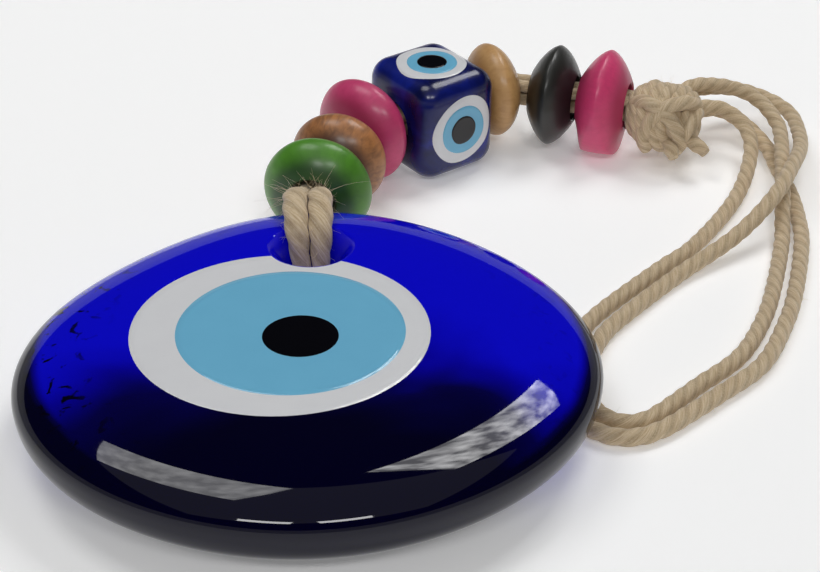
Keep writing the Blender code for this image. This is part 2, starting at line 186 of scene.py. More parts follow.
def turnLoops(name, loops, around):
    # A round shape drawn up from a circle, one extruded loop after another: (radius, height).
    deselect()
    bpy.ops.mesh.primitive_circle_add(vertices=around, radius=1.0, fill_type="NGON", location=(0, 0, 0))
    obj = bpy.context.object
    obj.name = name
    bpy.ops.object.mode_set(mode="EDIT")
    bpy.ops.mesh.select_all(action="SELECT")
    radius, height = loops[0]
    bpy.ops.transform.resize(value=(radius, radius, 1), center_override=(0, 0, 0))
    bpy.ops.transform.translate(value=(0, 0, height))
    for nextRadius, nextHeight in loops[1:]:
        bpy.ops.mesh.extrude_region_move(TRANSFORM_OT_translate={"value": (0, 0, nextHeight - height)})
        grow = nextRadius / radius
        bpy.ops.transform.resize(value=(grow, grow, 1), center_override=(0, 0, nextHeight))
        radius, height = nextRadius, nextHeight
    bpy.ops.object.mode_set(mode="OBJECT")
    return obj


twine = {
    "thickness": 2.4 * mm, "plies": 3, "lay": 7.5 * mm, "depth": 0.55, "around": 24, "step": 0.4 * mm,
    # A ply's middle and its own radius, as shares of the twine's radius.
    "plyOut": 0.39, "plyRadius": 0.61,
    # Past this share of the radius a point counts as the crest of a ply.
    "crest": 0.7,
}

# Routes as in the part's own design, in mm: x and y from the disc's centre, height above the table.
outerLoop = (
    (62.4, 70.8, 7.0), (65.8, 70.9, 6.7), (68.2, 69.6, 5.7), (69.7, 66.8, 4.4), (69.4, 62.5, 3.0),
    (66.6, 54.8, 1.8), (62.4, 47.2, 1.3), (55.7, 37.8, 1.2), (50.2, 32.4, 1.2), (41.0, 22.7, 1.2),
    (37.2, 17.7, 1.2), (34.8, 12.6, 1.2), (33.5, 7.2, 1.2), (32.9, 1.9, 1.2), (33.3, -1.8, 1.2),
    (35.1, -4.9, 1.2), (38.0, -6.7, 1.2), (41.3, -6.7, 1.2), (44.7, -5.0, 1.2), (47.9, -2.5, 1.2),
    (52.5, 1.4, 1.2), (59.8, 8.1, 1.2), (65.0, 17.5, 1.2), (68.5, 26.3, 1.2), (72.1, 38.4, 1.2),
    (73.2, 45.3, 1.2), (73.7, 51.6, 1.2), (73.6, 56.8, 1.2), (73.4, 61.6, 1.2), (73.1, 67.1, 1.5),
    (71.4, 71.4, 2.4), (69.1, 74.0, 3.4), (65.9, 74.9, 4.4), (61.4, 73.0, 4.8),
)
innerLoop = (
    (60.6, 74.8, 7.6), (66.2, 78.3, 6.6), (71.1, 80.0, 5.2), (74.0, 79.6, 4.4), (76.6, 77.6, 3.9),
    (78.2, 74.2, 3.7), (78.3, 69.5, 3.7), (76.9, 61.6, 4.6), (73.2, 52.0, 6.6), (68.6, 43.8, 6.0),
    (62.0, 37.9, 3.0), (52.2, 30.3, 1.2), (42.9, 20.2, 1.2), (39.8, 16.2, 1.2), (37.6, 11.8, 1.2),
    (36.3, 7.0, 1.2), (35.8, 2.6, 1.2), (36.0, -0.3, 1.2), (37.4, -2.7, 1.2), (39.7, -3.9, 1.2),
    (42.3, -3.4, 1.2), (44.6, -1.7, 1.2), (46.8, 0.3, 1.2), (50.6, 3.9, 1.2), (57.2, 10.1, 1.2),
    (62.2, 18.7, 1.2), (65.6, 27.3, 1.2), (69.2, 38.6, 1.2), (70.3, 43.6, 2.0), (71.3, 48.6, 3.6),
    (72.8, 55.8, 4.1), (74.9, 66.7, 4.2), (74.7, 70.6, 4.8), (73.4, 73.8, 5.8), (71.2, 75.6, 6.8),
    (68.3, 76.0, 7.8), (65.0, 74.8, 8.9), (61.8, 73.2, 9.6),
)


def smoothRoute(points, step):
    # Evenly spaced points on a smooth curve through the given ones, and the curve's length.
    ends = [2 * points[0] - points[1], *points, 2 * points[-1] - points[-2]]
    fine = []
    for a, b, c, d in zip(ends, ends[1:], ends[2:], ends[3:]):
        for k in range(24):
            t = k / 24
            bend = b * 2 + (c - a) * t + (a * 2 - b * 5 + c * 4 - d) * t**2
            fine.append((bend + (b * 3 - a - c * 3 + d) * t**3) / 2)
    fine.append(points[-1])
    along = [0.0]
    for a, b in zip(fine, fine[1:]):
        along.append(along[-1] + (b - a).length)
    count = max(int(along[-1] / step), 4)
    even, k = [], 0
    for n in range(count + 1):
        want = along[-1] * n / count
        while k < len(along) - 2 and along[k + 1] < want:
            k += 1
        even.append(fine[k].lerp(fine[k + 1], (want - along[k]) / max(along[k + 1] - along[k], 1e-9)))
    return even, along[-1]


def layTwine(name, route, radiusAt, lay=twine["lay"], closed=False, phase=0.0, press=None):
    # A twisted tube of three plies along the route. Its attribute "untwisted" is the place on a straight,
    # untwisted twine, for the material; press moves a point of the ring at k by changing its offset.
    around, plies, depth = twine["around"], twine["plies"], twine["depth"]
    plyOut, plyRadius = twine["plyOut"], twine["plyRadius"]
    own = twine["thickness"] / 2 / mm
    points, untwisted, crest, faces = [], [], [], []
    count = len(route)
    way = (route[1] - route[0]).normalized()
    side = way.orthogonal().normalized()
    run = 0.0
    for k, point in enumerate(route):
        before, after = route[max(k - 1, 0)], route[min(k + 1, count - 1)]
        if closed:
            before, after = route[k - 1], route[(k + 1) % count]
        newWay = (after - before).normalized()
        side = way.rotation_difference(newWay) @ side
        side = (side - newWay * side.dot(newWay)).normalized()
        way = newWay
        other = way.cross(side)
        run += (point - route[k - 1]).length if k else 0.0
        radius = radiusAt(k)
        twist = phase - 2 * math.pi * run / lay
        for j in range(around):
            turn = 2 * math.pi * j / around
            lobe = ((turn - twist) * plies / (2 * math.pi)) % 1.0
            off = (lobe - 0.5) * 2 * math.pi / plies
            reach = plyOut * math.cos(off) + math.sqrt(plyRadius**2 - (plyOut * math.sin(off)) ** 2)
            outward = side * math.cos(turn) + other * math.sin(turn)
            offset = outward * radius * (1 - depth * (1 - reach))
            points.append(point + (press(k, offset) if press else offset))
            untwisted.append((own * math.cos(turn - twist), own * math.sin(turn - twist), run / mm))
            crest.append(min(max((reach - twine["crest"]) / (1 - twine["crest"]), 0.0), 1.0))
    for k in range(count if closed else count - 1):
        low, high = k * around, ((k + 1) % count) * around
        for j in range(around):
            after = (j + 1) % around
            faces.append((low + j, low + after, high + after, high + j))
    for first, middle in () if closed else ((0, route[0]), ((count - 1) * around, route[-1])):
        points.append(middle)
        untwisted.append((0.0, 0.0, 0.0))
        crest.append(0.6)
        for j in range(around):
            pair = (first + (j + 1) % around, first + j)
            faces.append((*(pair if first == 0 else reversed(pair)), len(points) - 1))
    obj = meshFrom(name, points, faces)
    space = obj.data.attributes.new("untwisted", "FLOAT_VECTOR", "POINT")
    space.data.foreach_set("vector", [v for point in untwisted for v in point])
    tops = obj.data.attributes.new("crest", "FLOAT", "POINT")
    tops.data.foreach_set("value", crest)
    return obj


def makeHemp():
    # Hemp twine, three plies laid up and scoured pale: dry and matt, fine fibres, with painted shade in the
    # grooves.
    made, tree = newMaterial("scoured_hemp_twine")
    space = addNode(tree, "Attribute", attribute_name="untwisted").outputs["Vector"]
    crest = addNode(tree, "Attribute", attribute_name="crest").outputs["Fac"]
    # Fibres are 0.02 mm in the real twine; they are drawn 0.15 mm wide so that they show.
    stretched = addNode(tree, "Mapping", {"Vector": space, "Scale": (4.5, 4.5, 0.5)}).outputs[0]
    fibres = addNode(tree, "TexNoise", {"Vector": stretched, "Scale": 1.5, "Detail": 4.0}).outputs[0]
    stains = addNode(tree, "TexNoise", {"Vector": space, "Scale": 0.3, "Detail": 2.0}).outputs[0]
    tone = addNode(
        tree, "ValToRGB", {"Fac": fibres}, ((0.3, "#B59C7A"), (0.5, "#D4BF9E"), (0.72, "#E8D8BC"))
    ).outputs[0]
    stain = addNode(tree, "Math", {0: stains, 1: 0.4}, operation="MULTIPLY").outputs[0]
    tone = addNode(tree, "Mix", {0: stain, 6: tone, 7: "#B49B77"}, data_type="RGBA").outputs[2]
    # Painted shade: the grooves between the plies are painted darker.
    paintedGrooveShade = addNode(tree, "MapRange", {"Value": crest, "From Max": 0.75, "To Min": 0.5, "To Max": 0.0})
    tone = addNode(tree, "Mix", {0: paintedGrooveShade.outputs[0], 6: tone, 7: "#80694A"}, data_type="RGBA").outputs[2]
    bump = addNode(tree, "Bump", {"Height": fibres, "Strength": 0.5, "Distance": 0.2 * mm}).outputs[0]
    finishMaterial(
        tree,
        {
            "Base Color": tone, "Normal": bump, "Roughness": 0.85,
            "Sheen Weight": 0.25, "Specular IOR Level": 0.3,
        },
    )
    return made


hemp = makeHemp()
# Where stray fibres stand off the twine: distance from its middle in mm, how many, and the longest in mm.
fuzz = {
    "loop": (1.2, 100, 1.4), "bar": (1.5, 60, 2.2), "crown": (1.3, 26, 5.5),
    "knot": (1.4, 40, 1.6), "tail": (1.0, 24, 1.5),
}
fuzzy = []


def addFuzz(route, place):
    radius, count, longest = fuzz[place]
    fuzzy.append((route, radius * mm, count, longest * mm))


# Both ends of a loop run on into the knot, by these distances in mm.
intoKnot = {
    "hanging_loop_outer": ((-4.6, -1.2, 0.2), (-3.2, -2.0, 0.9)),
    "hanging_loop_inner": ((-2.6, -3.4, -0.3), (-3.4, -2.0, -0.6)),
}


def addLoops():
    for node, points in (("hanging_loop_outer", outerLoop), ("hanging_loop_inner", innerLoop)):
        first, last = (Vector(step) * mm for step in intoKnot[node])
        points = [Vector((x * mm, y * mm, tableZ + height * mm)) for x, y, height in points]
        points = [points[0] + first, *points, points[-1] + last]
        route, length = smoothRoute(points, twine["step"])
        loop = layTwine(node + "_twine", route, lambda k: twine["thickness"] / 2)
        finishPiece(loop, hemp, "cord", [node])
        addFuzz(route, "loop")
        print(node, round(length / mm), "mm long")


addLoops()

disc = {
    "radius": 35.0 * mm,
    "waves": ((2, 1.2 * mm, 0.6 * mm), (3, -0.15 * mm, -0.7 * mm), (4, 0.5 * mm, 0.0)),
    "shoulder": 14.0 * mm, "fullness": 2.3, "foot": 4.0 * mm,
    "around": 256, "footLoops": 10, "rimLoops": 40, "topLoops": 12,
}
hole = {
    "far": barCentre.y - 5.1 * mm, "near": 17.7 * mm, "halfWidth": 3.75 * mm, "flare": 3.2 * mm,
    # The cutter flares to just past each face, and goes on straight beyond that.
    "past": 0.3 * mm, "beyond": 2.0 * mm, "loops": 32, "around": 80,
}


def outline(angle):
    waves = (c * math.cos(n * angle) + s * math.sin(n * angle) for n, c, s in disc["waves"])
    return disc["radius"] + sum(waves)


def glassTop(x, y):
    # Height of the glass over a point, on the shoulder or the flat top.
    inward = outline(math.atan2(y, x)) - math.hypot(x, y)
    u = 1 - min(max(inward / disc["shoulder"], 0.0), 1.0)
    return discMid + half * (1 - u ** disc["fullness"]) ** (1 / disc["fullness"])


def addHoleCutter(extra):
    # The oval hole, wider by extra all round.
    loops = []
    for k in range(hole["loops"] + 1):
        share = -1 + 2 * k / hole["loops"]
        flare = hole["flare"] * (1 - math.sqrt(max(1 - share * share, 0.0))) + extra
        loops.append((1 + flare / hole["halfWidth"], discMid + share * (half + hole["past"])))
    (firstRadius, firstHeight), (lastRadius, lastHeight) = loops[0], loops[-1]
    beyond = hole["beyond"]
    loops = [(firstRadius, firstHeight - beyond), *loops, (lastRadius, lastHeight + beyond)]
    cutter = turnLoops("hole_cutter", loops, hole["around"])
    middle, reach = (hole["far"] + hole["near"]) / 2, (hole["far"] - hole["near"]) / 2
    for vert in cutter.data.vertices:
        x, y, z = vert.co
        turn, flare = math.atan2(y, x), hole["halfWidth"] * (math.hypot(x, y) - 1)
        across = math.cos(turn) * (hole["halfWidth"] + flare)
        vert.co = (barCentre.x + across, middle + math.sin(turn) * (reach + flare), z)
    closeUp(cutter)
    return cutter


# Distances in mm: lit runs from dark to bright as painted light, and paintedRimShade, flecks and leftSide are
# bands to fade over;
# paintedRimShade is painted shade by the rim.
cobalt = {
    "shades": ((0.0, "#01001C"), (0.3, "#030044"), (0.65, "#06009C"), (1.0, "#0A08D2")), "fleck": "#020012",
    "lit": (-16.0, 12.0), "drift": 26.0, "paintedRimShade": (33.0, 35.5),
    "flecks": (24.0, 31.0), "leftSide": (-18.0, -28.0),
}


def makeCobalt():
    # Cobalt soda-lime glass, poured on a plate and fire polished: a mirror skin over a body painted with
    # light and shade, near black on the near side and by the rim and strong blue on the far side as if light
    # got through, with flecks of scale by the rim.
    made, tree = newMaterial("poured_cobalt_glass")
    place = addNode(tree, "TexCoord").outputs["Object"]
    inMm = addNode(tree, "VectorMath", {0: place, "Scale": 1000.0}, operation="SCALE").outputs[0]
    split = addNode(tree, "SeparateXYZ", {0: inMm})
    x, y = split.outputs[0], split.outputs[1]
    flat = addNode(tree, "VectorMath", {0: inMm, 1: (1.0, 1.0, 0.0)}, operation="MULTIPLY").outputs[0]
    radius = addNode(tree, "VectorMath", {0: flat}, operation="LENGTH").outputs["Value"]
    # Slow clouds of colour about 18 mm across.
    clouds = addNode(
        tree, "TexNoise", {"Vector": flat, "Scale": 0.055, "Detail": 2.0, "Distortion": 0.5}
    ).outputs[0]
    # Streams of scale lie by the rim, 1 to 4 mm long.
    flecks = addNode(
        tree, "TexNoise", {"Vector": flat, "Scale": 0.5, "Detail": 4.0, "Distortion": 0.8}
    ).outputs[0]
    # Painted light: the colour is painted brighter towards the far side and the sides, as if light came
    # through from there, and painted dark on the near side.
    drift = addNode(
        tree, "Math", {0: clouds, 1: cobalt["drift"], 2: -cobalt["drift"] / 2}, operation="MULTIPLY_ADD"
    ).outputs[0]
    sideways = addNode(tree, "Math", {0: x}, operation="ABSOLUTE").outputs[0]
    lit = addNode(tree, "Math", {0: sideways, 1: 0.5, 2: y}, operation="MULTIPLY_ADD").outputs[0]
    lit = addNode(tree, "Math", {0: lit, 1: drift}, operation="ADD").outputs[0]
    bands = (
        (lit, cobalt["lit"]), (radius, cobalt["paintedRimShade"]), (radius, cobalt["flecks"]), (flecks, (0.58, 0.66)),
    )
    lit, paintedRimShade, nearRim, fleck = (
        addNode(
            tree, "MapRange", {"Value": value, "From Min": low, "From Max": high},
            interpolation_type="SMOOTHSTEP",
        ).outputs[0]
        for value, (low, high) in bands
    )
    # Painted shade: the colour is darkened towards the rim, from 33 to 35.5 mm out.
    lit = addNode(tree, "Math", {0: lit, 1: paintedRimShade}, operation="SUBTRACT", use_clamp=True).outputs[0]
    blue = addNode(tree, "ValToRGB", {"Fac": lit}, cobalt["shades"]).outputs[0]
    low, high = cobalt["leftSide"]
    leftSide = addNode(
        tree, "MapRange", {"Value": x, "From Min": low, "From Max": high, "To Min": 0.15}
    ).outputs[0]
    fleck = addNode(tree, "Math", {0: fleck, 1: nearRim}, operation="MULTIPLY").outputs[0]
    fleck = addNode(tree, "Math", {0: fleck, 1: leftSide}, operation="MULTIPLY").outputs[0]
    blue = addNode(tree, "Mix", {0: fleck, 6: blue, 7: cobalt["fleck"]}, data_type="RGBA").outputs[2]
    finishMaterial(tree, {"Base Color": blue, "Roughness": 0.03, "IOR": 1.52, "Specular IOR Level": 0.34})
    return made


def addDisc():
    # Up the side: the foot's quarter round, the fuller shoulder, then in over the flat top.
    loops = [(disc["radius"] - disc["foot"], discLow.z)]
    for k in range(1, disc["footLoops"] + 1):
        lean = math.pi / 2 * k / disc["footLoops"]
        loops.append((disc["radius"] - disc["foot"] * (1 - math.sin(lean)), discMid - half * math.cos(lean)))
    for k in range(1, disc["rimLoops"] + 1):
        u = math.cos(math.pi / 2 * k / disc["rimLoops"])
        rise = half * (1 - u ** disc["fullness"]) ** (1 / disc["fullness"])
        loops.append((disc["radius"] - disc["shoulder"] * (1 - u), discMid + rise))
    inner = loops[-1][0]
    loops += [(inner * (1 - k / disc["topLoops"]), discHigh.z) for k in range(1, disc["topLoops"])]
    body = turnLoops("glass_body", loops, disc["around"])
    for vert in body.data.vertices:
        x, y, z = vert.co
        out = math.hypot(x, y)
        if out > 0.001 * mm:
            share = min(out / (disc["radius"] - disc["foot"]), 1.0)
            grow = 1 + (outline(math.atan2(y, x)) - disc["radius"]) * share / out
            vert.co = (x * grow, y * grow, z)
    closeUp(body)
    cutter = addHoleCutter(0.0)
    carve(body, cutter)
    bpy.data.objects.remove(cutter)
    finishPiece(body, makeCobalt(), "disc", ["glass_disc"])
    print("glass disc,", len(body.data.polygons), "faces")


addDisc()

# From the widest down, in mm: middle, half widths across and front to back, and how far it stands proud.
eye = {
    "eye_white": {"x": -3.8, "y": 0.8, "wide": 18.9, "deep": 17.9, "lift": 0.02, "slot": "white_glass"},
    "eye_light_blue": {
        "x": -2.5, "y": 0.8, "wide": 14.45, "deep": 13.8, "lift": 0.05, "slot": "light_blue_glass",
    },
    "eye_pupil": {"x": -1.3, "y": -0.5, "wide": 4.8, "deep": 4.6, "lift": 0.08, "slot": "black_glass"},
}
# A layer's softly rounded edge, as shares of its half width and mm of its thickness, and loops to its middle.
eyeEdge = ((0.985, 0.0), (1.0, 0.2), (1.0, 0.7), (0.997, 0.92), (0.99, 1.0))
eyeLoops = 16


def makeOpaqueGlass(name, colour, shade):
    # Opaque soda-lime glass melted on in a drop and fire polished: even, glossy, faintly clouded.
    made, tree = newMaterial(name)
    place = addNode(tree, "TexCoord").outputs["Object"]
    clouds = addNode(tree, "TexNoise", {"Vector": place, "Scale": 220.0, "Detail": 3.0}).outputs[0]
    seeds = addNode(tree, "TexNoise", {"Vector": place, "Scale": 2600.0, "Detail": 1.0}).outputs[0]
    cloud = addNode(tree, "Math", {0: clouds, 1: 0.5}, operation="MULTIPLY").outputs[0]
    tone = addNode(tree, "Mix", {0: cloud, 6: colour, 7: shade}, data_type="RGBA").outputs[2]
    seed = addNode(
        tree, "MapRange", {"Value": seeds, "From Min": 0.7, "From Max": 0.8, "To Max": 0.3}
    ).outputs[0]
    tone = addNode(tree, "Mix", {0: seed, 6: tone, 7: shade}, data_type="RGBA").outputs[2]
    finishMaterial(tree, {"Base Color": tone, "Roughness": 0.06, "IOR": 1.5})
    return made


opaqueGlass = {
    "white_glass": makeOpaqueGlass("melted_white_glass", "#E2E3E5", "#D3D4D8"),
    "light_blue_glass": makeOpaqueGlass("melted_light_blue_glass", "#74BBDC", "#68ADD0"),
    "black_glass": makeOpaqueGlass("melted_black_glass", "#030308", "#07070E"),
}


def addEye():
    cutter = addHoleCutter(0.05 * mm)
    inner, top = eyeEdge[-1]
    loops = [*eyeEdge, *((inner * (1 - k / eyeLoops), top) for k in range(1, eyeLoops))]
    for name, layer in eye.items():
        piece = turnLoops(name + "_glass", loops, 128)
        for vert in piece.data.vertices:
            x = (layer["x"] + vert.co.x * layer["wide"]) * mm
            y = (layer["y"] + vert.co.y * layer["deep"]) * mm
            vert.co = (x, y, glassTop(x, y) + (layer["lift"] - top + vert.co.z) * mm)
        closeUp(piece)
        if name != "eye_pupil":
            carve(piece, cutter)
        finishPiece(piece, opaqueGlass[layer["slot"]], "disc", [name])
    bpy.data.objects.remove(cutter)
    print("eye melted in")


addEye()

bore = 3.55 * mm
# Sizes in mm as in the part's own design; fullness is how round the side is, 1 straight and 2 round.
# rim is a bead's own colour; face is the darker colour of its grain and blots and of the painted shade
# towards the bore.
saucers = {
    "bead_green": {
        "size": 16.0, "width": 8.8, "fullness": 1.85,
        "rim": "#4E9018", "face": "#1E4A0E", "grain": 0.25, "slot": "green_wood",
    },
    "bead_brown": {
        "size": 14.6, "width": 8.4, "fullness": 1.85,
        "rim": "#B87A44", "face": "#56301A", "grain": 0.9, "slot": "brown_wood",
    },
    "bead_pink_inner": {
        "size": 16.2, "width": 8.2, "fullness": 1.8,
        "rim": "#CC3A70", "face": "#A0204E", "grain": 0.35, "slot": "pink_wood",
    },
    "bead_tan": {
        "size": 14.8, "width": 7.0, "fullness": 1.75,
        "rim": "#C79A62", "face": "#AC7C46", "grain": 0.8, "slot": "tan_wood",
    },
    "bead_black": {
        "size": 15.9, "width": 7.4, "fullness": 1.5,
        "rim": "#171812", "face": "#0B0B0A", "grain": 0.2, "slot": "black_wood",
    },
    "bead_pink_outer": {
        "size": 16.4, "width": 8.0, "fullness": 1.5, "broad": 2.4,
        "rim": "#D83C72", "face": "#B02858", "grain": 0.4, "slot": "pink_wood",
    },
}
# How a saucer is turned: lip at the bore, steps along a side, steps round, and the hand-made lumpiness.
turning = {"lip": 0.3 * mm, "steps": 16, "around": 96, "lumps": 0.014}



def beadPlace(name):
    joint = joints[name + "_spin"]
    way = Vector(joint["axis"]).normalized()
    side = Vector((-way.y, way.x, 0)).normalized()
    return Matrix.Translation(joint["pos_m"]) @ Matrix((way, side, Vector((0, 0, 1)))).transposed().to_4x4()


def makeLacquered(name, bead):
    # Beech turned to a saucer, dyed and lacquered: a satin coat, grain showing faintly through the dye,
    # and painted shade darkening the faces towards the bore.
    made, tree = newMaterial("lacquered_beech_" + name)
    turned = addNode(tree, "Attribute", attribute_name="turned").outputs["Vector"]
    outward = addNode(tree, "Attribute", attribute_name="outward").outputs["Fac"]
    # Rays of beech are 1 to 2 mm apart along the bead and run across it.
    across = addNode(tree, "Mapping", {"Vector": turned, "Scale": (0.25, 1.6, 1.6)}).outputs[0]
    grain = addNode(
        tree, "TexNoise", {"Vector": across, "Scale": 0.8, "Detail": 5.0, "Distortion": 0.5}
    ).outputs[0]
    blots = addNode(tree, "TexNoise", {"Vector": turned, "Scale": 0.16, "Detail": 3.0}).outputs[0]
    # Painted shade: the faces are painted darker towards the bore.
    paintedBoreShade = addNode(
        tree, "MapRange",
        {"Value": outward, "From Min": 0.35, "From Max": 0.85, "To Min": 1.0, "To Max": 0.0},
        interpolation_type="SMOOTHSTEP",
    ).outputs[0]
    lines = addNode(
        tree, "MapRange", {"Value": grain, "From Min": 0.42, "From Max": 0.68, "To Max": 0.6 * bead["grain"]}
    ).outputs[0]
    blot = addNode(
        tree, "MapRange", {"Value": blots, "From Min": 0.4, "From Max": 0.7, "To Max": 0.35}
    ).outputs[0]
    tone = bead["rim"]
    for share in (paintedBoreShade, lines, blot):
        tone = addNode(tree, "Mix", {0: share, 6: tone, 7: bead["face"]}, data_type="RGBA").outputs[2]
    bump = addNode(tree, "Bump", {"Height": grain, "Strength": 0.1, "Distance": 0.15 * mm}).outputs[0]
    finishMaterial(
        tree,
        {"Base Color": tone, "Normal": bump, "Roughness": 0.5, "Coat Weight": 0.5, "Coat Roughness": 0.24},
    )
    return made


def turnSaucer(name, bead):
    rim, power = bead["size"] * mm / 2, bead["fullness"]
    full = bead["width"] * mm / 2 / (1 - (bore / rim) ** power) ** (1 / power)
    lip, steps = turning["lip"], turning["steps"]
    profile = []
    for k in range(steps + 1):
        radius = bore + lip + (rim - bore - lip) * math.sin(math.pi / 2 * k / steps)
        profile.append((radius, full * max(1 - (radius / rim) ** power, 0.0) ** (1 / power)))
    section = [(-wide, radius) for radius, wide in profile]
    section += [(wide, radius) for radius, wide in reversed(profile[:-1])]
    section += [(profile[0][1] - lip, bore), (0.0, bore), (lip - profile[0][1], bore)]
    deselect()
    bpy.ops.mesh.primitive_circle_add(
        vertices=len(section), radius=1.0, fill_type="NOTHING", location=(0, 0, 0)
    )
    obj = bpy.context.object
    obj.name = name + "_turned"
    for vert, (across, radius) in zip(obj.data.vertices, section):
        vert.co = (across, 0, radius)
    bpy.ops.object.mode_set(mode="EDIT")
    bpy.ops.mesh.select_all(action="SELECT")
    bpy.ops.mesh.spin(steps=turning["around"], angle=2 * math.pi, center=(0, 0, 0), axis=(1, 0, 0))
    bpy.ops.object.mode_set(mode="OBJECT")
    closeUp(obj)
    outward, turned = [], []
    for vert in obj.data.vertices:
        x, y, z = vert.co
        radius = math.hypot(y, z)
        share = min(max((radius - bore) / (rim - bore), 0.0), 1.0)
        # One bead's rim is broader on its underside.
        down = max(-z / max(radius, 1e-9), 0.0)
        broader = bead.get("broad", 0.0) * mm * down * share**2
        vert.co.x += math.copysign(broader * min(abs(x) / (0.4 * mm), 1.0), x)
        lump = noise.noise(Vector((x, y, z)) * 170 + Vector((bead["size"], 0, bead["width"])) * 7)
        vert.co *= 1 + turning["lumps"] * lump * share
        outward.append(share)
        turned += [x / mm + bead["size"] * 9, y / mm, z / mm]
    obj.data.attributes.new("outward", "FLOAT", "POINT").data.foreach_set("value", outward)
    obj.data.attributes.new("turned", "FLOAT_VECTOR", "POINT").data.foreach_set("vector", turned)
    obj.data.transform(beadPlace(name))
    finishPiece(obj, makeLacquered(name, bead), name, [name])


for name, bead in saucers.items():
    turnSaucer(name, bead)
print("saucer beads turned")

cube = {
    "size": 16.2 * mm, "width": 14.4 * mm, "rounding": 3.3 * mm, "cuts": 31,
    # An eye's layers: radius and how far each stands proud, in mm.
    "eyes": {"white": (5.6, 0.08), "light_blue": (4.0, 0.2), "pupil": (2.35, 0.3)},
    # A melted drop's edge, as shares of its radius and of its thickness, and its loops to the middle.
    "dropEdge": ((1.0, -0.9), (1.0, -0.25), (0.98, -0.08), (0.94, 0.0)), "dropLoops": 9, "drop": 0.8,
}


def makeNavy():
    # Navy glass pressed into a cube and turned in the flame: softly glossy, with slow swirls.
    made, tree = newMaterial("pressed_navy_glass")
    place = addNode(tree, "TexCoord").outputs["Object"]
    swirl = addNode(
        tree, "TexNoise", {"Vector": place, "Scale": 120.0, "Detail": 4.0, "Distortion": 1.0}
    ).outputs[0]
    tone = addNode(
        tree, "ValToRGB", {"Fac": swirl}, ((0.32, "#050A36"), (0.55, "#0A1560"), (0.78, "#15289A"))
    ).outputs[0]
    bump = addNode(tree, "Bump", {"Height": swirl, "Strength": 0.2, "Distance": 0.5 * mm}).outputs[0]
    finishMaterial(tree, {"Base Color": tone, "Normal": bump, "Roughness": 0.22, "IOR": 1.52})
    return made


def ontoCube(across, along):
    # Height of the cube's skin above its middle, over a point on one side.
    reach = cube["size"] / 2 - cube["rounding"]
    a = max(abs(across) - (cube["width"] / 2 - cube["rounding"]), 0.0)
    b = max(abs(along) - reach, 0.0)
    return reach + math.sqrt(max(cube["rounding"] ** 2 - a * a - b * b, 0.0))


def addCube():
    place = beadPlace("bead_cube")
    sides = Vector((cube["width"], cube["size"], cube["size"]))
    deselect()
    bpy.ops.mesh.primitive_cube_add(size=1.0, location=(0, 0, 0))
    block = bpy.context.object
    block.name = "bead_cube_glass"
    bpy.ops.object.mode_set(mode="EDIT")
    bpy.ops.mesh.select_all(action="SELECT")
    bpy.ops.transform.resize(value=sides, center_override=(0, 0, 0))
    bpy.ops.mesh.subdivide(number_cuts=cube["cuts"])
    bpy.ops.object.mode_set(mode="OBJECT")
    core = sides / 2 - Vector((1, 1, 1)) * cube["rounding"]
    for vert in block.data.vertices:
        inner = Vector([min(max(v, -c), c) for v, c in zip(vert.co, core)])
        vert.co = inner + (vert.co - inner).normalized() * cube["rounding"]
    drill = turnLoops("cube_drill", [(bore, -cube["width"]), (bore, cube["width"])], 48)
    drill.data.transform(Matrix.Rotation(math.pi / 2, 4, "Y"))
    closeUp(drill)
    carve(block, drill)
    bpy.data.objects.remove(drill)
    block.data.transform(place)
    finishPiece(block, makeNavy(), "bead_cube", ["bead_cube"])
    inner, top = cube["dropEdge"][-1]
    count = cube["dropLoops"]
    loops = [*cube["dropEdge"], *((inner * (1 - k / count), top) for k in range(1, count))]
    for side, label in enumerate(("top", "front", "bottom", "back")):
        turned = place @ Matrix.Rotation(math.pi / 2 * side, 4, "X")
        for layer, (radius, lift) in cube["eyes"].items():
            drop = turnLoops("cube_" + label + "_" + layer + "_glass", loops, 64)
            for vert in drop.data.vertices:
                x, y, z = vert.co
                turn = math.atan2(y, x)
                around = Vector((math.cos(turn), math.sin(turn), side * 3.1 + lift * 9))
                wander = 1 + 0.05 * noise.noise(around)
                x, y = x * radius * mm * wander, y * radius * mm * wander
                vert.co = (x, y, ontoCube(x, y) + (lift + z * cube["drop"]) * mm)
            closeUp(drop)
            drop.data.transform(turned)
            slot = "black_glass" if layer == "pupil" else layer + "_glass"
            finishPiece(drop, opaqueGlass[slot], "bead_cube", ["cube_" + label + "_" + layer])
    print("cube bead and its eyes")


addCube()

strand = {
    "squeezed": 2.0 * mm, "wide": 3.5 * mm, "thin": 2.5 * mm, "lay": 11.0 * mm, "step": 0.35 * mm,
    # In the beads: off the axis both ways, where it is held as shares of a bead's width, and on to the knot.
    "off": 1.15 * mm, "stops": (-0.36, 0.0, 0.36), "intoKnot": 6.0 * mm,
    # Round the bar: where the turn starts, its radius, and how much more that is at the bar's corners.
    "start": math.radians(58), "turn": 6.5 * mm, "corner": 0.65 * mm, "turnSteps": 24,
}
beadWidth = {name: bead["width"] * mm for name, bead in saucers.items()}
beadWidth["bead_cube"] = cube["width"]
beadOrder = ("green", "brown", "pink_inner", "cube", "tan", "black", "pink_outer")


